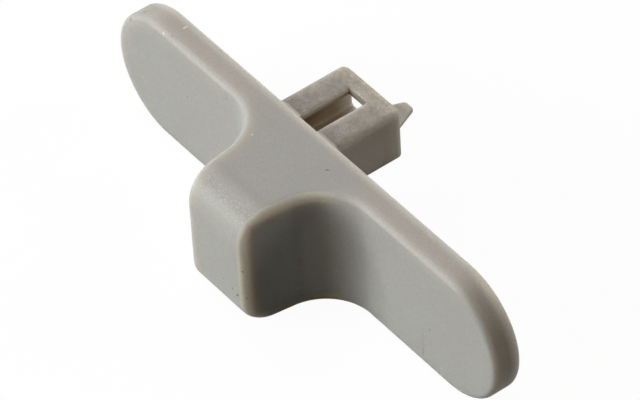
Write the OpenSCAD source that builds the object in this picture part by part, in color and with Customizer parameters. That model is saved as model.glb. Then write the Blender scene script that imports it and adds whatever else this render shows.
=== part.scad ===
// Tap T-handle, one moulded piece. X runs along the bar, Y back along the shank, Z is up.
// The bar's back face lies on Y = 0, and the bar's centre is the origin of X and Z.

/* [Bar] */
// Length of the bar, from tip to tip
bar_l = 80; // [64:1:96]
// Height of the bar, which is also the height of the boss
bar_h = 19.7; // [17:0.1:24]
// Thickness of the bar, from back face to front face
bar_t = 4.4; // [3.6:0.1:6]
// Radius rolled round every outer edge of the bar and the boss
edge_r = 0.9; // [0.6:0.1:1.4]

/* [Boss] */
// How far the boss's end face stands in front of the bar's back face
boss_d = 18.4; // [16:0.2:24]
// Width of the boss across its end face
boss_w = 11; // [8:0.1:14]
// Slope of each side of the boss, widening towards the bar, in degrees
boss_slope = 8; // [2:0.2:12]
// Radius of the hollow curve from the boss's side into the bar's front
hollow_r = 7.6; // [5:0.2:9]
// Radius from the boss's top and underside into its end face
brow_r = 4.7; // [2:0.1:6]

/* [Shank] */
// Width of the hollow shank
shank_w = 12.2; // [10:0.2:16]
// Height of the shank
shank_h = 8.4; // [7:0.2:10]
// Length of the shank behind the bar
shank_l = 10.8; // [9:0.2:20]
// How far the shank's centre line stands to the left of the bar's centre
shank_shift = 3.4; // [0:0.1:6]
// Drop from the bar's top down to the shank's top
shank_drop = 0.5; // [0.1:0.1:2]
// Radius of the shank's four long edges
shank_edge_r = 0.9; // [0.4:0.1:1.5]
// Radius of the shank's two upright back edges
shank_back_r = 1.2; // [0.6:0.1:2.4]
// Radius of the shank's upper and lower back edges
shank_rim_r = 0.9; // [0.3:0.1:1.2]

/* [Socket and slot] */
// Thickness of the shank's side walls
side_wall = 1.2; // [0.9:0.1:2]
// Thickness of the deck over the socket
deck_t = 1.2; // [0.9:0.1:1.8]
// Thickness of the floor under the socket
floor_t = 1.5; // [1:0.1:2]
// Radius in the socket's long corners
socket_r = 0.8; // [0.3:0.1:1.2]
// Width of the slot through the deck
slot_w = 3.7; // [2.6:0.1:5]
// Length of deck left between the slot and the shank's back end
slot_margin = 2.7; // [2:0.1:5]

/* [Tongue] */
// Length of the tongue behind the shank
tongue_l = 5.7; // [3:0.1:8]
// Width of the tongue where it leaves the shank
tongue_root_w = 6.4; // [5:0.1:8]
// Width of the tongue across its tip
tongue_tip_w = 2.1; // [1.8:0.1:4]
// Corner radius of the tongue's tip
tongue_tip_r = 0.6; // [0.3:0.1:0.9]
// Thickness of the tongue, down from the socket's floor
tongue_t = 0.7; // [0.5:0.1:1.2]

/* [Hidden] */
// Facets round an exact round
round_fn = 96;
end_fn = 96;
// Steps along the hollow curve, over the boss's brow and round its rolled edges
hollow_steps = 16;
brow_steps = 8;
roll_steps = 6;
// Depth that the hollow curve's end runs under the bar's front face
sink = 0.02;
// Overlap that joins one solid to the next, and a cut's run past a face
lap = 1;

half_h = bar_h / 2;
end_x = bar_l / 2 - half_h;
// Centre of the hollow curve, touching the bar's front face and the boss's side
hollow_y = -bar_t - hollow_r;
hollow_x = boss_w / 2 + ((hollow_y + boss_d) * sin(boss_slope) + hollow_r) / cos(boss_slope);
// Shank and socket levels
shank_top = half_h - shank_drop;
shank_bottom = shank_top - shank_h;
floor_z = shank_bottom + floor_t;
deck_z = shank_top - deck_t;
socket_w = shank_w - 2 * side_wall;

// X of the centre line of the edge rolled along the boss's sloping side, at y
function side_x(y) = boss_w / 2 + (y + boss_d) * tan(boss_slope) - edge_r / cos(boss_slope);

function unit(v) = v / norm(v);

// One station is [x, y, z] of a rolled edge's centre, the side's normal and the top's normal.
// Stations along the hollow curve, from inside the bar's front face to the boss's side
hollow_stations = [for (i = [0:hollow_steps])
    let (a = 90 + (90 - boss_slope) * i / hollow_steps, roll = hollow_r + edge_r)
    [[hollow_x + roll * cos(a), hollow_y + sink + roll * sin(a), half_h - edge_r],
        [-cos(a), -sin(a), 0], [0, 0, 1]]];

// Stations over the brow, from the boss's flat top down to its end face
brow_stations = [for (i = [0:brow_steps])
    let (a = 90 * i / brow_steps, roll = brow_r - edge_r, y = -boss_d + brow_r - roll * sin(a))
    [[side_x(y), y, half_h - brow_r + roll * cos(a)],
        [cos(boss_slope), -sin(boss_slope), 0], [0, -sin(a), cos(a)]]];

boss_stations = concat(hollow_stations, brow_stations);

// Points of one rolled edge at a station, from the top's tangent to the side's
function rolled(s) = [for (j = [0:roll_steps])
    let (a = 90 - 90 * j / roll_steps)
    s[0] + edge_r * unit(s[1] * cos(a) + s[2] * sin(a))];

// Closed ring round the boss at one station: right edges, then left, each top and bottom
function ring(s) =
    let (top = rolled(s), n = len(top),
        right = concat(top, [for (j = [n - 1:-1:0]) [top[j][0], top[j][1], -top[j][2]]]))
    concat(right, [for (j = [2 * n - 1:-1:0]) [-right[j][0], right[j][1], right[j][2]]]);

// First ring again, moved back flat to the middle of the bar
function buried(points) = [for (p = points) [p[0], -bar_t / 2, p[2]]];

function quad(a, b, c, d) = [[a, b, c], [a, c, d]];

// Boss with its hollow flanks, a skin over the rings and closed at both ends
module boss() {
    rings = [for (s = boss_stations) ring(s)];
    loops = concat([buried(rings[0])], rings);
    n = len(loops[0]);
    half = n / 2;
    last = n * (len(loops) - 1);
    skin = [for (i = [0:len(loops) - 2], j = [0:n - 1])
        let (k = (j + 1) % n, lo = n * i, hi = n * (i + 1))
        each quad(lo + j, lo + k, hi + k, hi + j)];
    back = [for (j = [0:half - 2]) each quad(n - 1 - j, n - 2 - j, j + 1, j)];
    corners = [for (side = [0, half], j = [0:half / 2 - 2])
        let (p = last + side + j, q = last + side + half - 1 - j)
        each quad(p, p + 1, q - 1, q)];
    front = quad(last, last + half - 1, last + half, last + n - 1);
    polyhedron([for (l = loops) each l], concat(skin, back, corners, front));
}

// Section of the bar's upper or lower half, with its outer edges rolled
module bar_half_section() {
    square([half_h - edge_r, bar_t]);
    translate([0, edge_r]) square([half_h, bar_t - 2 * edge_r]);
    for (y = [edge_r, bar_t - edge_r])
        translate([half_h - edge_r, y]) circle(edge_r, $fn = round_fn);
}

// Straight middle of the bar
module bar_middle() {
    rotate([90, 0, 90])
        linear_extrude(2 * end_x, center = true)
            for (turn = [90, -90])
                rotate(turn)
                    translate([0, turn > 0 ? 0 : -bar_t]) bar_half_section();
}

// Round end of the bar
module bar_end(side) {
    translate([side * end_x, 0, 0])
        rotate([90, 0, 0])
            rotate_extrude(angle = 180, start = side > 0 ? -90 : 90, $fn = end_fn)
                bar_half_section();
}

module bar() {
    bar_middle();
    bar_end(-1);
    bar_end(1);
}

// Shank's outline seen from behind, rounded along its four long edges
module shank_face() {
    w = shank_w / 2 - shank_edge_r;
    h = shank_h / 2 - shank_edge_r;
    square([shank_w, 2 * h], center = true);
    square([2 * w, shank_h], center = true);
    for (x = [-w, w], z = [-h, h])
        translate([x, z]) circle(shank_edge_r, $fn = round_fn);
}

// Shank's outline seen from above, rounded at its two back corners
module shank_plan() {
    w = shank_w / 2 - shank_back_r;
    translate([-shank_w / 2, -lap]) square([shank_w, shank_l + lap - shank_back_r]);
    translate([-w, -lap]) square([2 * w, shank_l + lap]);
    for (x = [-w, w])
        translate([x, shank_l - shank_back_r]) circle(shank_back_r, $fn = round_fn);
}

// Shank's outline seen from its side, rounded at its upper and lower back corners
module shank_side() {
    h = shank_h / 2 - shank_rim_r;
    translate([-lap, -shank_h / 2]) square([shank_l + lap - shank_rim_r, shank_h]);
    translate([-lap, -h]) square([shank_l + lap, 2 * h]);
    for (z = [-h, h])
        translate([shank_l - shank_rim_r, z]) circle(shank_rim_r, $fn = round_fn);
}

// Solid shank before its socket is cut, where its three outlines meet
module shank_block() {
    intersection() {
        translate([0, 0, (shank_top + shank_bottom) / 2])
            rotate([90, 0, 90])
                linear_extrude(shank_w + 2 * lap, center = true) shank_side();
        translate([0, shank_l, (shank_top + shank_bottom) / 2])
            rotate([90, 0, 0])
                linear_extrude(shank_l + lap) shank_face();
        translate([0, 0, shank_bottom - lap])
            linear_extrude(shank_h + 2 * lap) shank_plan();
    }
}

// Socket seen from behind, rounded in its four corners
module socket_face() {
    w = socket_w / 2 - socket_r;
    h = (deck_z - floor_z) / 2 - socket_r;
    square([socket_w, 2 * h], center = true);
    square([2 * w, 2 * (h + socket_r)], center = true);
    for (x = [-w, w], z = [-h, h])
        translate([x, z]) circle(socket_r, $fn = round_fn);
}

module socket() {
    translate([0, shank_l + lap, (deck_z + floor_z) / 2])
        rotate([90, 0, 0])
            linear_extrude(shank_l + lap) socket_face();
}

module slot() {
    translate([-slot_w / 2, -2 * lap, deck_z - lap])
        cube([slot_w, shank_l - slot_margin + 2 * lap, deck_t + 2 * lap]);
}

// Pointed tongue that carries the top of the socket's floor on behind the shank
module tongue() {
    tip = tongue_tip_w / 2 - tongue_tip_r;
    end = shank_l + tongue_l;
    root = tongue_root_w / 2;
    translate([0, 0, floor_z - tongue_t])
        linear_extrude(tongue_t) {
            polygon([[-root, shank_l - lap], [root, shank_l - lap], [root, shank_l],
                [tongue_tip_w / 2, end - tongue_tip_r], [-tongue_tip_w / 2, end - tongue_tip_r],
                [-root, shank_l]]);
            translate([-tip, end - 2 * tongue_tip_r]) square([2 * tip, 2 * tongue_tip_r]);
            for (x = [-tip, tip])
                translate([x, end - tongue_tip_r]) circle(tongue_tip_r, $fn = round_fn);
        }
}

module shank() {
    translate([-shank_shift, 0, 0]) {
        difference() {
            shank_block();
            socket();
            slot();
        }
        tongue();
    }
}

module t_handle() {
    color([0.6, 0.6, 0.57]) {
        bar();
        boss();
        shank();
    }
}

t_handle();
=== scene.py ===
import bmesh
import bpy
import numpy as np
from mathutils import Matrix, Vector


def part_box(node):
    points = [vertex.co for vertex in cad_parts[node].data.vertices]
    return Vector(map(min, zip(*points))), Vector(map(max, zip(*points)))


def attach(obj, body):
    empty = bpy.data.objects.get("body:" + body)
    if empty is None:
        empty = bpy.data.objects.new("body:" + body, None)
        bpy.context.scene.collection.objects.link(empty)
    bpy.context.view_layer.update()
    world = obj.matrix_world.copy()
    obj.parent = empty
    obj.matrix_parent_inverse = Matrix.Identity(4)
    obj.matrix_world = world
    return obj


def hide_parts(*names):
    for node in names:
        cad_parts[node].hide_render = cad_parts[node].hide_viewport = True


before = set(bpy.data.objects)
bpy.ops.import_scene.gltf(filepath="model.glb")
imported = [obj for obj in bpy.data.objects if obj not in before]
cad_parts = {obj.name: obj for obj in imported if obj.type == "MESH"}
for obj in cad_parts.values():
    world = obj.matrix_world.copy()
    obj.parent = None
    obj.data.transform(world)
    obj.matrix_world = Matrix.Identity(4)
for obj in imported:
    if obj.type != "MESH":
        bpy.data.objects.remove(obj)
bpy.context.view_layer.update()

mm = 0.001
cadLow, cadHigh = (np.array(corner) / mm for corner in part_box("t_handle"))

# Bar and boss, in millimetres and degrees. Their length, height and depth come from the frame.
barAndBoss = {
    "halfLength": cadHigh[0],
    "halfHeight": cadHigh[2],
    "bossDepth": -cadLow[1],
    "barThickness": 4.4,
    "edgeRoll": 0.9,
    "bossWidth": 11.0,
    "bossSlope": 8.0,
    "hollowRadius": 7.6,
    "browRadius": 4.7,
    "wingSteps": 24,
    "hollowSteps": 32,
    "sideSteps": 6,
    "browSteps": 20,
    "acrossSteps": 14,
    "rollSteps": 10,
    "faceSteps": 16,
    "topSteps": 16,
    "tipSteps": 40,
}

# Hollow shank behind the bar, with the slot through its deck
shankSizes = {
    "centre": -3.4,
    "width": 12.2,
    "top": cadHigh[2] - 0.5,
    "height": 8.4,
    "length": 10.8,
    "longEdge": 0.9,
    "backCorner": 1.2,
    "sideWall": 1.2,
    "deck": 1.2,
    "floor": 1.5,
    "socketCorner": 0.4,
    "slotWidth": 3.7,
    "slotMargin": 2.7,
    "rim": 0.85,
    "lowRim": 0.55,
    "lip": 0.14,
    "rootFillet": 0.5,
    "buried": 1.0,
    "socketStart": -0.6,
}

# Pointed tongue, whose top carries on from the socket's floor
tongueSizes = {
    "end": cadHigh[1],
    "rootWidth": 6.4,
    "rootEase": 0.5,
    "tipWidth": 2.1,
    "tipCorner": 0.6,
    "thickness": 0.7,
    "edge": 0.24,
    "underFillet": 0.18,
}


# Shapes from numbers
def spread(low, high, count):
    # places from low to high, crowded towards both ends as half a cosine wave is
    return low + (high - low) * (1 - np.cos(np.linspace(0, np.pi, count + 1))) / 2


def crowdFirst(low, high, count):
    # places from low to high, crowded towards low as a quarter of a cosine wave is
    return low + (high - low) * (1 - np.cos(np.linspace(0, np.pi / 2, count + 1)))


def unit(vectors):
    return vectors / np.linalg.norm(vectors, axis=-1, keepdims=True)


def grid(x, y, z):
    # three arrays that broadcast together become rows and columns of points
    return np.stack(np.broadcast_arrays(x, y, z), axis=-1).astype(float)


def between(start, end, steps):
    # rows of points on straight lines from each start to its end, without the start itself
    share = np.linspace(0, 1, steps + 1)[1:]
    return start[None] + (end - start)[None] * share[:, None, None]


def rolled(centre, firstNormal, lastNormal, radius, steps):
    # a ball of that radius rests on two surfaces: its centre plus the radius along every direction
    # between their two normals, first to last
    turn = np.linspace(0, np.pi / 2, steps + 1)[:, None, None]
    return centre + radius * unit(firstNormal * np.cos(turn) + lastNormal * np.sin(turn))


def mirrored(patches, axis):
    # each patch and its mirror image across the plane where that axis is nought
    sign = np.ones(3)
    sign[axis] = -1
    return patches + [patch * sign for patch in patches]


def weldPatches(patches, name):
    # each patch is a grid of points: neighbours become quads, and points within a tenth of a micron are one
    points, faces, start = [], [], 0
    for patch in patches:
        rows, columns = patch.shape[:2]
        index = start + np.arange(rows * columns).reshape(rows, columns)
        corners = np.stack([index[:-1, :-1], index[:-1, 1:], index[1:, 1:], index[1:, :-1]], axis=-1)
        faces.append(corners.reshape(-1, 4))
        points.append(patch.reshape(-1, 3))
        start += rows * columns
    points, faces = np.concatenate(points), np.concatenate(faces)
    rounded = np.round(points * 1e4).astype(np.int64)
    _, first, same = np.unique(rounded, axis=0, return_index=True, return_inverse=True)
    points, faces = points[first], same.reshape(-1)[faces]
    loops = [list(dict.fromkeys(face)) for face in faces.tolist()]
    mesh = bpy.data.meshes.new(name)
    mesh.from_pydata((points * mm).tolist(), [], [loop for loop in loops if len(loop) > 2])
    shell = bmesh.new()
    shell.from_mesh(mesh)
    bmesh.ops.recalc_face_normals(shell, faces=shell.faces)
    openEdges = sum(len(edge.link_faces) != 2 for edge in shell.edges)
    shell.to_mesh(mesh)
    shell.free()
    piece = bpy.data.objects.new(name, mesh)
    bpy.context.scene.collection.objects.link(piece)
    print(name, len(points), "points,", len(mesh.polygons), "faces,", openEdges, "open edges")
    return piece


# Bar and boss
def bossStations(s):
    # the ball's centre, the side's normal and the top's normal along the front outline: along the wing,
    # round the hollow curve, along the boss's side and down over its brow
    roll, slope = s["edgeRoll"], np.radians(s["bossSlope"])
    edgeZ = s["halfHeight"] - roll
    hollowY = -s["barThickness"] - s["hollowRadius"]
    hollowX = s["bossWidth"] / 2 + ((hollowY + s["bossDepth"]) * np.sin(slope) + s["hollowRadius"]) / np.cos(slope)
    browY = -s["bossDepth"] + s["browRadius"]

    def sideX(y):
        return s["bossWidth"] / 2 + (y + s["bossDepth"]) * np.tan(slope) - roll / np.cos(slope)

    wingX = np.linspace(s["halfLength"] - s["halfHeight"], hollowX, s["wingSteps"] + 1)[:-1]
    wing = grid(wingX, -s["barThickness"] + roll, edgeZ)
    turn = np.linspace(np.pi / 2, np.pi - slope, s["hollowSteps"] + 1)
    reach = s["hollowRadius"] + roll
    hollow = grid(hollowX + reach * np.cos(turn), hollowY + reach * np.sin(turn), edgeZ)
    sideY = np.linspace(hollow[-1, 1], browY, s["sideSteps"] + 1)[1:-1]
    side = grid(sideX(sideY), sideY, edgeZ)
    fall = np.linspace(0, np.pi / 2, s["browSteps"] + 1)
    browReach = s["browRadius"] - roll
    browCentreY = browY - browReach * np.sin(fall)
    brow = grid(sideX(browCentreY), browCentreY, s["halfHeight"] - s["browRadius"] + browReach * np.cos(fall))

    centres = np.concatenate([wing, hollow, side, brow])
    sideNormals = np.concatenate([
        grid(0 * wingX, -1, 0),
        grid(-np.cos(turn), -np.sin(turn), 0),
        grid(np.cos(slope) + 0 * np.append(sideY, fall), -np.sin(slope), 0),
    ])
    flat = len(centres) - len(brow)
    topNormals = np.concatenate([grid(np.zeros(flat), 0, 1), grid(0 * fall, -np.sin(fall), np.cos(fall))])
    return centres, sideNormals, topNormals, flat


def bodyShell(s):
    # a quarter of the bar and boss, right of its middle and above it, mirrored twice
    roll, height, thick = s["edgeRoll"], s["halfHeight"], s["barThickness"]
    centres, sideNormals, topNormals, flat = bossStations(s)
    skirtRoll = rolled(centres, topNormals, sideNormals, roll, s["rollSteps"]).transpose(1, 0, 2)
    down = np.cos(np.linspace(0, np.pi / 2, s["faceSteps"] + 1))  # crowded towards the rolled edge
    foot = skirtRoll[:, -1]
    skirtWall = grid(foot[:, :1], foot[:, 1:2], foot[:, 2:] * down[None])

    # brow: its edge points are the roll's top ends, drawn in to the middle plane
    inward = crowdFirst(1, 0, s["acrossSteps"])
    browEdge = skirtRoll[flat:, 0]
    brow = grid(browEdge[:, :1] * inward[None], browEdge[:, 1:2], browEdge[:, 2:])

    # end face with its rounded upright corner
    cornerAndEnd = np.concatenate([skirtRoll[-1, ::-1], brow[-1, 1:]])
    endFace = grid(cornerAndEnd[:, :1], cornerAndEnd[:, 1:2], cornerAndEnd[:, 2:] * down[None])

    # flat top: ruled from the front outline to the bar's back edge
    front = np.concatenate([skirtRoll[:flat, 0], brow[0]])
    bend = s["wingSteps"]  # the station where the wing ends and the hollow curve begins
    travel = np.append(0, np.cumsum(np.linalg.norm(np.diff(front[bend:], axis=0), axis=1)))
    backX = np.append(front[:bend, 0], front[bend, 0] * (1 - travel / travel[-1]))
    across = spread(0, 1, s["topSteps"])[None]
    flatTop = grid(front[:, :1] + (backX[:, None] - front[:, :1]) * across,
                   front[:, 1:2] + (-roll - front[:, 1:2]) * across, height)

    # back of the bar: its roll, then the flat face down to the middle
    turn = np.linspace(0, np.pi / 2, s["rollSteps"] + 1)
    backRoll = grid(backX[:, None], -roll + roll * np.sin(turn), height - roll + roll * np.cos(turn))
    backFace = grid(backX[:, None], 0, (height - roll) * down[None])

    # round tip: the bar's section, from its front's middle to its back's, turned about the tip's centre
    rimY = -thick + roll
    face = (height - roll) * down
    sectionR = np.concatenate([face[::-1], height - roll + roll * np.sin(turn[1:]),
                               np.full(s["topSteps"] - 1, height), height - roll + roll * np.cos(turn), face[1:]])
    sectionY = np.concatenate([np.full(len(face), -thick), rimY - roll * np.cos(turn[1:]),
                               rimY + (-roll - rimY) * across[0, 1:-1], -roll + roll * np.sin(turn), 0 * face[1:]])
    swing = np.linspace(np.pi / 2, 0, s["tipSteps"] + 1)[:, None]
    tip = grid(s["halfLength"] - height + sectionR * np.cos(swing), sectionY[None], sectionR * np.sin(swing))
    patches = [skirtRoll, skirtWall, brow, endFace, flatTop, backRoll, backFace, tip]
    return weldPatches(mirrored(mirrored(patches, 0), 2), "barAndBoss")


# Shank and tongue
def shankLoop(s, halfX, high, low, corner, tongueX):
    # half a loop round the shank or the socket: the deck from its middle, an upper corner, the wall, a lower
    # corner, and the floor in to its middle, the last part on the tongue's own places
    turn = np.linspace(0, np.pi / 2, 9)
    slot, lip = s["slotWidth"] / 2, s["lip"]
    deckX = np.concatenate([np.linspace(0, slot, 7), slot + lip * (1 - np.cos(turn[2::2])),
                            spread(slot + lip, halfX - corner, 11)[1:-1]])
    wallZ = spread(high - corner, low + corner, 12)[1:-1]
    floorX = np.append(spread(halfX - corner, tongueX[0], 7)[1:-1], tongueX)
    x = np.concatenate([deckX, halfX - corner + corner * np.sin(turn), np.full(len(wallZ), halfX),
                        halfX - corner + corner * np.cos(turn), floorX])
    z = np.concatenate([np.full(len(deckX), high), high - corner + corner * np.cos(turn), wallZ,
                        low + corner - corner * np.sin(turn), np.full(len(floorX), low)])
    normalZ = np.concatenate([np.ones(len(deckX)), np.cos(turn), 0 * wallZ, -np.sin(turn), -np.ones(len(floorX))])
    return grid(x, 0, z), grid(np.sqrt(1 - normalZ ** 2), 0, normalZ)


def planBack(s, x, inset):
    # y and normal of the shank's back seen from above, that far inside it: straight across, then round a quarter
    # circle into the side
    middle, radius = s["width"] / 2 - s["backCorner"], s["backCorner"] - inset
    over = np.clip(x - middle, 0, radius)
    back = np.sqrt(radius ** 2 - over ** 2)
    return s["length"] - s["backCorner"] + back, unit(grid(over, back, 0))


def planPath(s, travel):
    # x and y where a walk of that length along the same back ends, starting from its middle
    middle, radius = s["width"] / 2 - s["backCorner"], s["backCorner"]
    turn = np.clip((travel - middle) / radius, 0, np.pi / 2)
    x = np.where(travel < middle, travel, middle + radius * np.sin(turn))
    return x, s["length"] - radius + radius * np.cos(turn)


def tongueOutline(s, t):
    # half its width, how far back it reaches there, and its slope: an eased root, a straight side, a rounded
    # corner that touches it, and a straight tip
    root, end, corner, ease = t["rootWidth"] / 2, t["end"], t["tipCorner"], t["rootEase"]
    tipX, tipY = t["tipWidth"] / 2 - corner, end - corner
    toRoot = np.array([root - tipX, s["length"] - tipY])
    touch = np.arctan2(toRoot[1], toRoot[0]) + np.arccos(corner / np.linalg.norm(toRoot))
    bend = np.linspace(touch, np.pi / 2, 9)
    steep = (tipY + corner * np.sin(touch) - s["length"]) / (root - tipX - corner * np.cos(touch))
    easeX = np.linspace(root + ease, root - ease, 9)
    sideX = np.linspace(root - ease, tipX + corner * np.cos(touch), 10)[1:-1]
    middleX = np.linspace(tipX, 0, 4)[1:]
    x = np.concatenate([easeX, sideX, tipX + corner * np.cos(bend), middleX])
    reach = np.concatenate([steep * (root + ease - easeX) ** 2 / (4 * ease), steep * (root - sideX),
                            tipY + corner * np.sin(bend) - s["length"], end - s["length"] + 0 * middleX])
    slope = np.concatenate([steep * (root + ease - easeX) / (2 * ease), steep + 0 * sideX,
                            1 / np.tan(bend), 0 * middleX])
    return x, reach, np.sqrt(1 + slope ** 2)


def rootFlare(s, y):
    # how far the root fillet stands out at y: a quarter circle that runs into the bar's back along its tangent
    fillet = s["rootFillet"]
    low = 0.05 * fillet
    held = np.clip(y, low, fillet)
    steep = (fillet - low) / np.sqrt(fillet ** 2 - (fillet - low) ** 2)
    return fillet - np.sqrt(fillet ** 2 - (fillet - held) ** 2) + steep * np.clip(low - y, 0, low + 0.1)


def slotDrop(s, x, y):
    # how far the deck falls away beside the slot, on its lip's quarter circle
    lip = s["lip"]
    away = np.hypot(np.maximum(x - s["slotWidth"] / 2, 0), np.maximum(y - s["length"] + s["slotMargin"], 0))
    return lip - np.sqrt(lip ** 2 - np.maximum(lip - away, 0) ** 2)


def skin(s, loop, normals, rowY, endY, flare, up):
    # the loop carried back: straight rows, then rows that share out the way to each point's own end.
    # It flares by the fillet where flare is 1, and the deck falls by up towards the slot
    last = np.linspace(0, 1, 7)[1:, None]
    y = np.concatenate([np.repeat(rowY[:, None], len(endY), axis=1), rowY[-1] + (endY - rowY[-1]) * last])
    swell = (flare * rootFlare(s, y) * np.clip(1 - 1.2 * normals[:, 2], 0, 1))[..., None]
    deck = normals[:, 2] == 1
    drop = up * np.where(deck, slotDrop(s, loop[:, 0], y), 0)
    return loop + swell * normals + grid(0, y, -drop)


def shankShell(s, t):
    # half of the shank and tongue, right of their middle plane, mirrored
    outX, outLow = s["width"] / 2, s["top"] - s["height"]
    inX, inTop, inLow = outX - s["sideWall"], s["top"] - s["deck"], outLow + s["floor"]
    lip = s["lip"]
    tongueX, reach, stretch = tongueOutline(s, t)
    outLoop, outNormal = shankLoop(s, outX, s["top"], outLow, s["longEdge"], tongueX)
    inLoop, inNormal = shankLoop(s, inX, inTop, inLow, s["socketCorner"], tongueX)
    first = len(outLoop) - len(tongueX)  # the loop's first place on the tongue

    # balls that roll the rim outside and the lip inside touch the faces and the rounded back. The rim's is
    # smaller under the floor
    rim = s["rim"] + (s["lowRim"] - s["rim"]) * np.clip(-outNormal[:, 2:], 0, 1)
    outCentre, inCentre = outLoop - rim * outNormal, inLoop + lip * inNormal
    outCentre[:, 1], outBack = planBack(s, outCentre[:, 0], rim[:, 0])
    inCentre[:, 1], inBack = planBack(s, inCentre[:, 0], lip)
    outRound = rolled(outCentre, outNormal, outBack, rim, 8)
    inRound = rolled(inCentre, inBack, -inNormal, lip, 6)

    # across the back between them, walking along its plan, with one row level with the tongue's underside
    level = (s["floor"] - t["thickness"] - s["lowRim"]) / (s["floor"] - s["lowRim"] - lip)
    share = np.append(np.linspace(0, level, 5)[1:], np.linspace(level, 1, 5)[1:-1])[:, None]
    middle, corner = outX - s["backCorner"], s["backCorner"]

    def walked(normal, x):
        return np.where(normal[:, 0] > 0, middle + corner * np.arctan2(normal[:, 0], normal[:, 1]), x)

    outWalk, inWalk = walked(outBack, outCentre[:, 0]), walked(inBack, inCentre[:, 0])
    acrossX, acrossY = planPath(s, outWalk + (inWalk - outWalk) * share)
    acrossZ = outRound[-1, :, 2] + (inRound[0, :, 2] - outRound[-1, :, 2]) * share
    backEnd = np.concatenate([outRound, grid(acrossX, acrossY, acrossZ), inRound])

    # tongue: under the floor's rim, up its end, a fillet, the underside, round its edge and on to its top
    fillet = np.minimum(t["underFillet"], 0.3 * reach)
    lowEdge = np.minimum(t["edge"], 0.4 * reach / stretch)
    highEdge = lip + (t["edge"] - lip) * np.clip(reach / t["edge"], 0, 1)
    underZ, tongueY = inLow - t["thickness"], s["length"] + reach
    turn = np.linspace(0, np.pi / 2, 7)[1:, None]
    floorEnd = outRound[:, first:]
    filletFoot = grid(tongueX, s["length"], underZ - fillet)
    filletArc = grid(tongueX, s["length"] + fillet * (1 - np.cos(turn[::2])), underZ - fillet + fillet * np.sin(turn[::2]))
    underEnd = grid(tongueX, tongueY - lowEdge * stretch, underZ)
    lowArc = grid(tongueX, tongueY - lowEdge * stretch * (1 - np.sin(turn)), underZ + lowEdge * (1 - np.cos(turn)))
    highFoot = grid(tongueX, tongueY, inLow - highEdge)
    highArc = grid(tongueX, tongueY - highEdge * stretch * (1 - np.cos(turn)), inLow - highEdge + highEdge * np.sin(turn))
    tongue = np.concatenate([floorEnd, between(floorEnd[-1], filletFoot, 4), filletArc,
                             between(filletArc[-1], underEnd, 6), lowArc, between(lowArc[-1], highFoot, 4), highArc])

    # rows from the buried root back to where the rim's rounding starts
    slotEnd = s["length"] - s["slotMargin"]
    filletY = s["rootFillet"] * np.append(0.05, crowdFirst(0.05, 1, 6)[1:])
    lipY = slotEnd + lip * (1 - np.cos(np.linspace(0, np.pi / 2, 5)))
    nearBack = np.linspace(lipY[-1], s["length"] - s["backCorner"], 4)[1:-1]
    rowY = np.concatenate([[-s["buried"], s["socketStart"], -0.1], filletY,
                           np.linspace(filletY[-1], slotEnd, 14)[1:-1], lipY, nearBack])
    slotRow = len(rowY) - len(nearBack) - len(lipY)
    outer = skin(s, outLoop, outNormal, rowY, outCentre[:, 1], 1, 1)
    inEnd = np.append(inCentre[:first, 1], tongueY - highEdge * stretch)
    inner = skin(s, inLoop, inNormal, rowY[1:], inEnd, 0, -1)

    # slot: the skins' grids without the cells over it, and its walls between them
    edge = 6  # the loops' place at the slot's side
    outHole, inHole = outer[1:slotRow + 1], inner[:slotRow]
    outerPatches = [outer[:2], outHole[:, edge:], outer[slotRow:]]
    innerPatches = [inHole[:, edge:], inner[slotRow - 1:]]
    walls = [between(a, b, 4) for a, b in ((outHole[:, edge], inHole[:, edge]),
                                           (outHole[-1, :edge + 1], inHole[-1, :edge + 1]),
                                           (outHole[0, :edge + 1], inHole[0, :edge + 1]))]
    starts = [outHole[:, edge], outHole[-1, :edge + 1], outHole[0, :edge + 1]]
    walls = [np.concatenate([start[None], wall]) for start, wall in zip(starts, walls)]

    # blind end of the socket and the buried root, each a fan from its centre
    ends = [np.stack([ring, grid(0 * ring[:, 0], ring[0, 1], z)])
            for ring, z in ((inner[0], (inTop + inLow) / 2), (outer[0], (s["top"] + outLow) / 2))]
    patches = outerPatches + innerPatches + walls + ends + [backEnd[:, :first + 1], tongue]
    piece = weldPatches(mirrored(patches, 0), "shank")
    piece.data.transform(Matrix.Translation((s["centre"] * mm, 0, 0)))
    return piece


def joined(body, other, name):
    # the two closed shells become one, without what lay inside either
    union = body.modifiers.new("union", "BOOLEAN")
    union.operation = "UNION"
    union.solver = "EXACT"
    union.object = other
    bpy.context.view_layer.update()
    mesh = bpy.data.meshes.new_from_object(body.evaluated_get(bpy.context.evaluated_depsgraph_get()))
    mesh.name = name
    piece = bpy.data.objects.new(name, mesh)
    bpy.context.scene.collection.objects.link(piece)
    for old in (body, other):
        bpy.data.objects.remove(old)
    mesh.shade_smooth()
    mesh.set_sharp_from_angle(angle=np.radians(32))
    return piece


def reportShell(piece):
    shell = bmesh.new()
    shell.from_mesh(piece.data)
    openEdges = sum(len(edge.link_faces) != 2 for edge in shell.edges)
    triangles = sum(len(face.verts) - 2 for face in shell.faces)
    volume = shell.calc_volume() / mm ** 3
    shell.free()
    print(piece.name, triangles, "triangles,", openEdges, "open edges,", round(volume, 1), "cubic millimetres")


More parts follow.
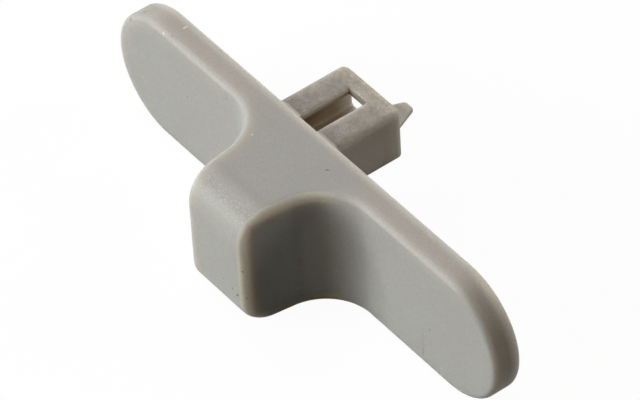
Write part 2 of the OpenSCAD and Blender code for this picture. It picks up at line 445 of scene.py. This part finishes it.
def bendMask(mesh, roll):
    # point attribute "bend": how fast the normals of two neighbours spread along the line between them, times
    # the rolled edges' radius, and the largest of these at each point. Rolled edges get about one
    count = len(mesh.vertices)
    place, normal = np.empty(3 * count), np.empty(3 * count)
    mesh.vertices.foreach_get("co", place)
    mesh.vertex_normals.foreach_get("vector", normal)
    ends = np.empty(2 * len(mesh.edges), dtype=np.int32)
    mesh.edges.foreach_get("vertices", ends)
    a, b = ends.reshape(-1, 2).T
    place, normal = place.reshape(-1, 3) / mm, normal.reshape(-1, 3)
    along = place[b] - place[a]
    lengths = np.maximum(np.linalg.norm(along, axis=1), 0.02)
    bend = ((normal[b] - normal[a]) * along).sum(axis=1) / lengths ** 2 * roll
    mask = np.zeros(count)
    np.maximum.at(mask, a, bend)
    np.maximum.at(mask, b, bend)
    mesh.attributes.new("bend", "FLOAT", "POINT").data.foreach_set("value", np.clip(mask, 0, 1.5))


handle = joined(bodyShell(barAndBoss), shankShell(shankSizes, tongueSizes), "mouldedHandle")
bendMask(handle.data, barAndBoss["edgeRoll"])
reportShell(handle)
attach(handle, "root")
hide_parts("t_handle")

# Moulded grey plastic. Colours are linear, lengths in millimetres, shares and tones from nought to one. Many of the
# colours and tints here are painted light and shade laid over the plastic's own colour
plasticLook = {
    "colour": (0.40, 0.395, 0.365),
    "bossTopLight": (0.445, 0.44, 0.408),
    "wingTopLight": (0.470, 0.450, 0.412),
    "backEdgeLight": (0.73, 0.71, 0.635),
    "backEdgeLightShare": 1.0,
    "lowEdge": (0.34, 0.29, 0.21),
    "lowEdgeShare": 0.6,
    "deck": (0.370, 0.336, 0.298),
    "shankSideLight": (0.49, 0.485, 0.465),
    "tongue": (0.66, 0.62, 0.54),
    "socket": (0.43, 0.335, 0.24),
    "slotWallTopShade": (0.27, 0.24, 0.19),
    "slotWallFootLight": (0.54, 0.485, 0.40),
    "slotSideShade": (0.84, 0.85, 0.87),
    "scuff": (0.60, 0.585, 0.56),
    "scuffShare": 0.75,
    "flankRimLight": (1.50, 1.46, 1.33),
    "cornerRimLight": (1.22, 1.15, 1.03),
    "flankFootShade": (1.0, 0.86, 0.68),
    "sheen": (0.58, 0.58, 0.55),
    "sheenShare": 0.5,
    "tipBackLight": (0.93, 0.88, 0.76),
    "tipFrontShade": (0.80, 0.79, 0.78),
    "frontRollShade": (0.90, 0.91, 0.92),
    "browStartShade": (0.91, 0.915, 0.92),
    "hollowTurnLight": (1.16, 1.17, 1.19),
    "deckFrontShade": (0.86, 0.86, 0.86),
    "shankRearLight": (1.27, 1.25, 1.20),
    "shankRimLight": (1.16, 1.16, 1.12),
    "longRimShade": (0.90, 0.93, 0.88),
    "slotRimShade": (0.20, 0.165, 0.12),
    "slotRimShadeShare": 0.8,
    "roughness": 0.5,
    "shankRoughness": 0.65,
    "gloss": 0.22,
    "glow": 1.0,
    "glowReach": 1.4,
    "edgeReach": 2.8,
    "glowTint": (1.0, 0.78, 0.58),
    "grainSize": 0.3,
    "grainTone": 0.19,
    "grainDepth": 0.02,
    "cloudSize": 6.0,
    "cloudTone": 0.05,
    "deckCloudSize": 0.7,
    "deckCloudTone": 0.38,
}

# Flecks, specks and marks: middle, half lengths, turn in degrees, colour and share of it
marks = {
    "paleFleck": ((-27.85, -1.55, 9.85), (0.17, 0.42, 0.3), (0, 0, 0), (0.80, 0.76, 0.64), 1.0),
    "brownSpot": ((-34.76, -3.1, 8.7), (0.28, 0.35, 0.3), (0, 0, 0), (0.24, 0.19, 0.13), 0.6),
    "leftSpeck": ((-36.55, -4.31, 6.78), (0.28, 0.3, 0.26), (0, 0, 0), (0.18, 0.12, 0.06), 0.9),
    "rollFleck": ((-29.09, -4.21, 9.5), (0.2, 0.2, 0.2), (0, 0, 0), (0.72, 0.70, 0.62), 0.7),
    "rollSpeck": ((-27.62, -3.8, 9.8), (0.14, 0.14, 0.14), (0, 0, 0), (0.18, 0.14, 0.10), 0.6),
    "topFleck": ((-6.04, -7.1, 9.85), (0.2, 0.2, 0.2), (0, 0, 0), (0.70, 0.66, 0.58), 0.8),
    "topMark": ((5.4, -3.7, 9.85), (0.42, 0.11, 0.3), (0, 0, 45), (0.12, 0.10, 0.08), 0.8),
    "endSpeck": ((4.51, -18.4, -4.06), (0.24, 0.24, 0.24), (0, 0, 0), (0.08, 0.035, 0.02), 1.0),
    "endSpeckSmall": ((3.44, -18.4, -3.63), (0.15, 0.15, 0.15), (0, 0, 0), (0.16, 0.11, 0.07), 0.8),
    "endSpeckFaint": ((1.58, -18.4, -3.11), (0.14, 0.14, 0.14), (0, 0, 0), (0.20, 0.15, 0.11), 0.6),
    "redSpeck": ((5.45, -18.02, 0.73), (0.17, 0.17, 0.17), (0, 0, 0), (0.42, 0.17, 0.12), 0.8),
    "redSpeckLow": ((5.59, -17.71, -4.19), (0.14, 0.14, 0.14), (0, 0, 0), (0.30, 0.14, 0.09), 0.7),
    "redBlush": ((6.78, -9.86, -1.82), (0.5, 0.5, 1.0), (0, 0, 0), (0.46, 0.31, 0.27), 0.5),
    "paleLine": ((6.69, -10.22, -6.46), (0.4, 0.5, 0.12), (0, 0, 0), (0.66, 0.56, 0.46), 0.6),
    "rightSpeck": ((26.71, -4.4, -2.21), (0.18, 0.18, 0.2), (0, 0, 0), (0.28, 0.16, 0.08), 0.8),
    "rightStreak": ((25.2, -4.4, -5.6), (0.24, 0.4, 2.6), (0, 0, 0), (0.34, 0.315, 0.265), 0.5),
    "rightStreakFoot": ((25.1, -4.4, -7.6), (0.12, 0.4, 0.8), (0, 0, 0), (0.24, 0.20, 0.145), 0.7),
    "leftDot": ((-15.34, -4.4, 7.9), (0.13, 0.13, 0.13), (0, 0, 0), (0.14, 0.12, 0.10), 0.8),
    "leftDotBrown": ((-24.35, -4.4, 1.58), (0.16, 0.2, 0.22), (0, 0, 0), (0.27, 0.24, 0.17), 0.7),
    "leftDotFaint": ((-17.57, -4.4, 2.64), (0.13, 0.13, 0.13), (0, 0, 0), (0.24, 0.21, 0.17), 0.6),
    "hollowDot": ((-11.98, -4.69, 4.94), (0.13, 0.13, 0.13), (0, 0, 0), (0.22, 0.19, 0.15), 0.6),
    "leftStreak": ((-34.5, -4.4, -2.6), (1.0, 0.4, 0.2), (0, 48, 0), (0.48, 0.475, 0.44), 0.5),
}


def addNode(tree, kind, inputs, **settings):
    # one node with its settings; an input is a plain value or another node's output
    node = tree.nodes.new("ShaderNode" + kind)
    for name, value in settings.items():
        setattr(node, name, value)
    for key, value in inputs.items():
        if isinstance(value, bpy.types.NodeSocket):
            tree.links.new(value, node.inputs[key])
        else:
            node.inputs[key].default_value = value
    return node


def maths(tree, operation, *values):
    return addNode(tree, "Math", dict(enumerate(values)), operation=operation).outputs[0]


def blend(tree, share, start, end):
    # start where share is nought and end where it is one
    colours = [(*colour, 1) if isinstance(colour, tuple) else colour for colour in (start, end)]
    return addNode(tree, "Mix", {0: share, 6: colours[0], 7: colours[1]}, data_type="RGBA").outputs[2]


def ramp(tree, value, low, high):
    # nought up to low, one from high, a smooth step between
    inputs = {"Value": value, "From Min": low, "From Max": high}
    return addNode(tree, "MapRange", inputs, interpolation_type="SMOOTHSTEP").outputs["Result"]


def noise(tree, place, size, detail):
    inputs = {"Vector": place, "Scale": 1 / size, "Detail": detail, "Roughness": 0.55}
    return addNode(tree, "TexNoise", inputs).outputs["Fac"]


def product(tree, *values):
    # all the values multiplied together
    result = values[0]
    for value in values[1:]:
        result = maths(tree, "MULTIPLY", result, value)
    return result


def tinted(tree, colour, tint):
    return addNode(tree, "VectorMath", {0: colour, 1: tint}, operation="MULTIPLY").outputs[0]


def plasticMaterial(s, body, shank, marks):
    made = bpy.data.materials.new("greyPlastic")
    made.use_nodes = True
    tree = made.node_tree
    shader = tree.nodes["Principled BSDF"]
    texture = addNode(tree, "TexCoord", {})
    place = addNode(tree, "VectorMath", {0: texture.outputs["Object"], "Scale": 1 / mm}, operation="SCALE").outputs[0]
    x, y, z = addNode(tree, "SeparateXYZ", {0: place}).outputs
    top, low = body["halfHeight"], -body["halfHeight"]

    # painted light: the tops are painted lighter than the rest, the thin wings' tops more than the boss's, and a
    # painted pale highlight runs along the bar's back edge
    onTop = ramp(tree, z, top - 1.0, top - 0.1)
    wing = product(tree, onTop, ramp(tree, maths(tree, "ABSOLUTE", x), 8, 17))
    colour = blend(tree, onTop, s["colour"], s["bossTopLight"])
    colour = blend(tree, wing, colour, s["wingTopLight"])
    backEdgeLight = product(tree, ramp(tree, y, -1.8, -0.2), ramp(tree, z, top - 2.4, top - 0.8), s["backEdgeLightShare"])
    colour = blend(tree, backEdgeLight, colour, s["backEdgeLight"])
    lowEdge = product(tree, ramp(tree, z, low + 1.4, low + 0.2), s["lowEdgeShare"])
    colour = blend(tree, lowEdge, colour, s["lowEdge"])

    # shank: its deck is mottled and scuffed. Its sides and its thin tongue are painted lighter, painted light, and its
    # socket is painted browner, painted warm shade
    behind = ramp(tree, y, 0.05, 0.4)
    onDeck = ramp(tree, z, shank["top"] - 0.7, shank["top"] - 0.1)
    colour = blend(tree, behind, colour, blend(tree, onDeck, s["shankSideLight"], s["deck"]))
    away = maths(tree, "ABSOLUTE", maths(tree, "SUBTRACT", x, shank["centre"]))
    socketTop, socketLow = shank["top"] - shank["deck"], shank["top"] - shank["height"] + shank["floor"]
    inside = product(tree, ramp(tree, away, shank["width"] / 2 - 0.4, shank["width"] / 2 - 1.0),
                     ramp(tree, z, socketTop + 0.7, socketTop + 0.1),
                     ramp(tree, z, socketLow - 0.3, socketLow - 0.05),
                     ramp(tree, y, -1.0, -0.8), ramp(tree, y, shank["length"], shank["length"] - 3))
    colour = blend(tree, inside, colour, s["socket"])
    colour = blend(tree, ramp(tree, y, shank["length"] - 0.1, shank["length"] + 0.5), colour, s["tongue"])
    deck = product(tree, behind, onDeck)
    # painted shade: the deck is darker next to the bar's back
    deckFrontShade = product(tree, deck, ramp(tree, y, 5.5, 0.8))
    colour = blend(tree, deckFrontShade, colour, tinted(tree, colour, s["deckFrontShade"]))
    scuff = product(tree, ramp(tree, noise(tree, place, 0.2, 2), 0.52, 0.7),
                    ramp(tree, noise(tree, place, 1.9, 2), 0.46, 0.62), deck, s["scuffShare"])
    colour = blend(tree, scuff, colour, s["scuff"])

    # painted light and shade: lighter tints along the edges of the boss's flanks and round the shank's rolled edges are
    # painted light for the light that comes through the plastic there, and darker tints are painted shade
    facing = addNode(tree, "SeparateXYZ", {0: texture.outputs["Normal"]}).outputs
    edge = maths(tree, "MINIMUM", maths(tree, "ADD", y, body["bossDepth"]),
                 maths(tree, "SUBTRACT", top, maths(tree, "ABSOLUTE", z)))
    flank = product(tree, ramp(tree, facing[0], 0.06, 0.45), ramp(tree, edge, 2.0, 0.7),
                    ramp(tree, y, -4.8, -7))
    colour = blend(tree, flank, colour, tinted(tree, colour, s["flankRimLight"]))
    # painted light round the boss's upright corner on the side facing +x
    corner = product(tree, ramp(tree, facing[0], 0.2, 0.7), ramp(tree, y, -16.0, -17.5))
    colour = blend(tree, corner, colour, tinted(tree, colour, s["cornerRimLight"]))
    # painted warm shade at the foot of the flank facing +x
    foot = product(tree, ramp(tree, facing[0], 0.15, 0.65), ramp(tree, y, -4.8, -7),
                   ramp(tree, z, low + 2.4, low + 0.5))
    colour = blend(tree, foot, colour, tinted(tree, colour, s["flankFootShade"]))
    # painted shade on the front of the right tip's end and a painted pale highlight along its back edge
    tip = product(tree, ramp(tree, facing[0], 0.2, 0.7), ramp(tree, x, 30, 33))
    tipFrontShade = product(tree, tip, ramp(tree, y, -2.4, -3.8))
    colour = blend(tree, tipFrontShade, colour, tinted(tree, colour, s["tipFrontShade"]))
    fromTip = addNode(tree, "CombineXYZ", {0: maths(tree, "SUBTRACT", x, body["halfLength"] - top), 2: z}).outputs[0]
    tipRadius = addNode(tree, "VectorMath", {0: fromTip}, operation="LENGTH").outputs["Value"]
    tipBackLight = product(tree, ramp(tree, tipRadius, 8.4, 9.1), ramp(tree, x, 30.5, 35), ramp(tree, y, -2.3, -0.2))
    colour = blend(tree, tipBackLight, colour, s["tipBackLight"])
    # painted light in the hollow curve on the right of the boss
    hollow = product(tree, ramp(tree, x, 0, 2), ramp(tree, y, -10.6, -8.6), ramp(tree, y, -4.7, -6.3),
                     ramp(tree, maths(tree, "ABSOLUTE", z), 9.3, 8.5))
    colour = blend(tree, hollow, colour, tinted(tree, colour, s["hollowTurnLight"]))
    # painted shade where the top turns down over the brow
    browStartShade = product(tree, ramp(tree, y, -12.2, -14.2), ramp(tree, y, -17.2, -16), ramp(tree, z, 7, 8.5))
    colour = blend(tree, browStartShade, colour, tinted(tree, colour, s["browStartShade"]))
    # painted highlight: a speckled sheen painted on the brow
    speckle = ramp(tree, noise(tree, place, 0.26, 3), 0.5, 0.66)
    sheen = product(tree, ramp(tree, y, -14.6, -15.8), ramp(tree, y, -18.2, -17.2), ramp(tree, z, 6.6, 8),
                    speckle, s["sheenShare"])
    colour = blend(tree, sheen, colour, s["sheen"])
    bend = addNode(tree, "Attribute", {}, attribute_name="bend").outputs["Fac"]
    # painted shade that dims the highlights on the front rolled edges
    frontRollShade = product(tree, ramp(tree, bend, 0.2, 1.0), ramp(tree, y, -2.8, -3.6), ramp(tree, y, -14, -11.5),
                        ramp(tree, z, 1, 5))
    colour = blend(tree, frontRollShade, colour, tinted(tree, colour, s["frontRollShade"]))
    # painted light towards the shank's back and on its rolled rims there, and painted shade on its long rolled edges
    shankRearLight = ramp(tree, y, shank["length"] - 3.4, shank["length"] - 1.0)
    colour = blend(tree, product(tree, shankRearLight, ramp(tree, y, shank["length"] + 0.3, shank["length"])), colour,
                   tinted(tree, colour, s["shankRearLight"]))
    rim = product(tree, ramp(tree, bend, 0.1, 1.0), ramp(tree, y, shank["length"] - 2.2, shank["length"] - 0.8))
    colour = blend(tree, rim, colour, tinted(tree, colour, s["shankRimLight"]))
    longRimShade = product(tree, ramp(tree, bend, 0.1, 1.0), behind, ramp(tree, y, shank["length"] - 0.8, shank["length"] - 2.2))
    colour = blend(tree, longRimShade, colour, tinted(tree, colour, s["longRimShade"]))

    # slot: painted shade and light on its walls, dark at the top and pale at the foot, painted shade on the deck along
    # its right side, and a dark painted shade line along its rear edge
    slotEnd = shank["length"] - shank["slotMargin"]
    within = ramp(tree, away, shank["slotWidth"] / 2 + 0.08, shank["slotWidth"] / 2 + 0.02)
    wall = product(tree, within, behind, ramp(tree, z, socketTop - 0.1, socketTop + 0.05),
                   ramp(tree, z, shank["top"] - 0.02, shank["top"] - 0.1), ramp(tree, y, slotEnd - 0.02, slotEnd - 0.1))
    wallShading = blend(tree, ramp(tree, z, shank["top"] - 0.1, socketTop), s["slotWallTopShade"], s["slotWallFootLight"])
    colour = blend(tree, wall, colour, wallShading)
    slotSideShade = product(tree, ramp(tree, away, shank["slotWidth"] / 2 + 0.6, shank["slotWidth"] / 2 + 0.15), behind, onDeck,
                       ramp(tree, x, shank["centre"], shank["centre"] + 1), ramp(tree, y, slotEnd + 0.3, slotEnd))
    colour = blend(tree, slotSideShade, colour, tinted(tree, colour, s["slotSideShade"]))
    rear = product(tree, within, ramp(tree, y, slotEnd + 0.14, slotEnd + 0.06), ramp(tree, y, slotEnd - 0.1, slotEnd),
                   ramp(tree, z, socketTop - 0.3, socketTop - 0.1), s["slotRimShadeShare"])
    colour = blend(tree, rear, colour, s["slotRimShade"])

    # fine grain and broad clouds make the colour lighter or darker by their tones
    grain = noise(tree, place, s["grainSize"], 3)
    cloud = noise(tree, place, s["cloudSize"], 2)
    deckCloud = noise(tree, place, s["deckCloudSize"], 3)
    deckTone = maths(tree, "MULTIPLY_ADD", deckCloud, 2 * s["deckCloudTone"], 1 - s["deckCloudTone"])
    tone = product(tree, maths(tree, "MULTIPLY_ADD", grain, 2 * s["grainTone"], 1 - s["grainTone"]),
                   maths(tree, "MULTIPLY_ADD", cloud, 2 * s["cloudTone"], 1 - s["cloudTone"]),
                   addNode(tree, "Mix", {0: deck, 2: 1.0, 3: deckTone}).outputs[0])
    colour = addNode(tree, "VectorMath", {0: colour, "Scale": tone}, operation="SCALE").outputs[0]

    # each mark is an uneven spot: the distance from its middle in half lengths, shaken by the grain
    for name, (middle, halves, turn, markColour, share) in marks.items():
        spot = addNode(tree, "Mapping", {"Vector": place, "Location": middle, "Scale": halves,
                                         "Rotation": np.radians(turn)}, vector_type="TEXTURE", label=name)
        far = addNode(tree, "VectorMath", {0: spot.outputs[0]}, operation="LENGTH").outputs["Value"]
        far = maths(tree, "ADD", far, maths(tree, "MULTIPLY_ADD", grain, 1.2, -0.6))
        colour = blend(tree, product(tree, ramp(tree, far, 1.2, 0.6), share), colour, markColour)

    tree.links.new(colour, shader.inputs["Base Color"])
    rough = maths(tree, "MULTIPLY_ADD", behind, s["shankRoughness"] - s["roughness"], s["roughness"] - 0.05)
    tree.links.new(maths(tree, "MULTIPLY_ADD", cloud, 0.1, rough), shader.inputs["Roughness"])
    bump = addNode(tree, "Bump", {"Height": grain, "Distance": s["grainDepth"] * mm})
    tree.links.new(bump.outputs["Normal"], shader.inputs["Normal"])
    shader.inputs["Specular IOR Level"].default_value = s["gloss"]
    shader.subsurface_method = "RANDOM_WALK_SKIN"
    weight = maths(tree, "MULTIPLY_ADD", maths(tree, "MAXIMUM", inside, rear), -s["glow"], s["glow"])
    tree.links.new(weight, shader.inputs["Subsurface Weight"])
    bossEdge = product(tree, ramp(tree, facing[0], 0.15, 0.6), ramp(tree, edge, 2.4, 0.9), ramp(tree, y, -6, -9))
    farther = maths(tree, "MAXIMUM", tipBackLight, bossEdge)
    reach = maths(tree, "MULTIPLY_ADD", farther, (s["edgeReach"] - s["glowReach"]) * mm, s["glowReach"] * mm)
    tree.links.new(reach, shader.inputs["Subsurface Scale"])
    shader.inputs["Subsurface Radius"].default_value = s["glowTint"]
    return made


handle.data.materials.clear()
handle.data.materials.append(plasticMaterial(plasticLook, barAndBoss, shankSizes, marks))

# Camera
photoView = {
    "azimuth": 54.617,
    "elevation": 44.818,
    "roll": 3.5,
    "distance": 720.8,
    "focalPixels": 5540.2,
    "aimRight": -0.964,
    "aimDown": 1.455,
    "imageWidth": 640,
}


def placeCamera(s):
    # the camera looks at the origin from that azimuth and elevation, turned by its roll and slid in its own plane
    azimuth, elevation, roll = (np.radians(s[name]) for name in ("azimuth", "elevation", "roll"))
    back = Vector((np.sin(azimuth) * np.cos(elevation), -np.cos(azimuth) * np.cos(elevation), np.sin(elevation)))
    level = Vector((0, 0, 1)).cross(back).normalized()
    upright = back.cross(level)
    right = level * np.cos(roll) - upright * np.sin(roll)
    up = upright * np.cos(roll) + level * np.sin(roll)
    place = (back * s["distance"] + right * s["aimRight"] - up * s["aimDown"]) * mm
    data = bpy.data.cameras.new("photoView")
    data.sensor_width = 36
    data.lens = s["focalPixels"] / s["imageWidth"] * data.sensor_width
    data.clip_start = 0.01
    data.clip_end = 20
    view = bpy.data.objects.new("photoView", data)
    view.matrix_world = Matrix.Translation(place) @ Matrix((right, up, back)).transposed().to_4x4()
    bpy.context.scene.collection.objects.link(view)
    bpy.context.scene.camera = view


placeCamera(photoView)


# Floor, world and lamps. The camera and gloss see a white room, which lights nothing else
studio = {
    "floorHalf": 3.0,
    "floorDrop": 0.02,
    "floorGlow": 0.96,
    "floorShade": 0.05,
    "floorBounce": 0.15,
    "lampDistance": 0.8,
}

# Azimuth as the camera's, elevation, width in metres, power in watts and colour
lamps = {
    "key": (-28, 20, 0.4, 6.3, (0.95, 0.99, 1.0)),
    "backLeft": (-150, 8, 0.3, 1.6, (1.0, 1.0, 0.95)),
    "upperLeft": (-90, 60, 0.3, 1.9, (1.0, 0.93, 0.92)),
    "lowFront": (0, 8, 0.3, 0.65, (1.0, 0.82, 0.56)),
    "back": (150, 30, 0.3, 1.6, (1.0, 0.97, 0.88)),
}


def seen(tree):
    # one for the rays that look at the room: the camera's, reflections and light through glass
    path = addNode(tree, "LightPath", {}).outputs
    return maths(tree, "MAXIMUM", maths(tree, "MAXIMUM", path["Is Camera Ray"], path["Is Glossy Ray"]),
                 path["Is Transmission Ray"])


def floorMaterial(s):
    made = bpy.data.materials.new("floor")
    made.use_nodes = True
    tree = made.node_tree
    grey = [(s[name],) * 3 + (1,) for name in ("floorGlow", "floorShade", "floorBounce")]
    glow = addNode(tree, "Emission", {"Color": grey[0]}).outputs[0]
    shade = addNode(tree, "BsdfDiffuse", {"Color": grey[1]}).outputs[0]
    bounce = addNode(tree, "BsdfDiffuse", {"Color": grey[2]}).outputs[0]
    white = addNode(tree, "AddShader", {0: glow, 1: shade}).outputs[0]
    mixed = addNode(tree, "MixShader", {0: seen(tree), 1: bounce, 2: white}).outputs[0]
    tree.links.new(mixed, tree.nodes["Material Output"].inputs["Surface"])
    return made


def addFloor(s):
    half, z = s["floorHalf"], (cadLow[2] - s["floorDrop"]) * mm
    mesh = bpy.data.meshes.new("floor")
    mesh.from_pydata([(x, y, z) for x, y in ((-half, -half), (half, -half), (half, half), (-half, half))],
                     [], [(0, 1, 2, 3)])
    mesh.materials.append(floorMaterial(s))
    floor = bpy.data.objects.new("floor", mesh)
    bpy.context.scene.collection.objects.link(floor)


def addWorld():
    world = bpy.data.worlds.new("studio")
    world.use_nodes = True
    tree = world.node_tree
    background = tree.nodes["Background"]
    background.inputs["Color"].default_value = (1, 1, 1, 1)
    tree.links.new(seen(tree), background.inputs["Strength"])
    bpy.context.scene.world = world


def addLamp(name, azimuth, elevation, size, power, colour):
    # a square lamp that faces the origin from that side
    a, e = np.radians(azimuth), np.radians(elevation)
    towards = Vector((np.sin(a) * np.cos(e), -np.cos(a) * np.cos(e), np.sin(e)))
    data = bpy.data.lights.new(name, "AREA")
    data.shape = "SQUARE"
    data.size = size
    data.energy = power
    data.color = colour
    lamp = bpy.data.objects.new(name, data)
    turned = towards.to_track_quat("Z", "Y").to_matrix().to_4x4()
    lamp.matrix_world = Matrix.Translation(towards * studio["lampDistance"]) @ turned
    bpy.context.scene.collection.objects.link(lamp)
    return lamp


addFloor(studio)
addWorld()
for name, settings in lamps.items():
    addLamp(name, *settings)
print("stage ready")

bpy.context.scene.view_settings.view_transform = "Standard"
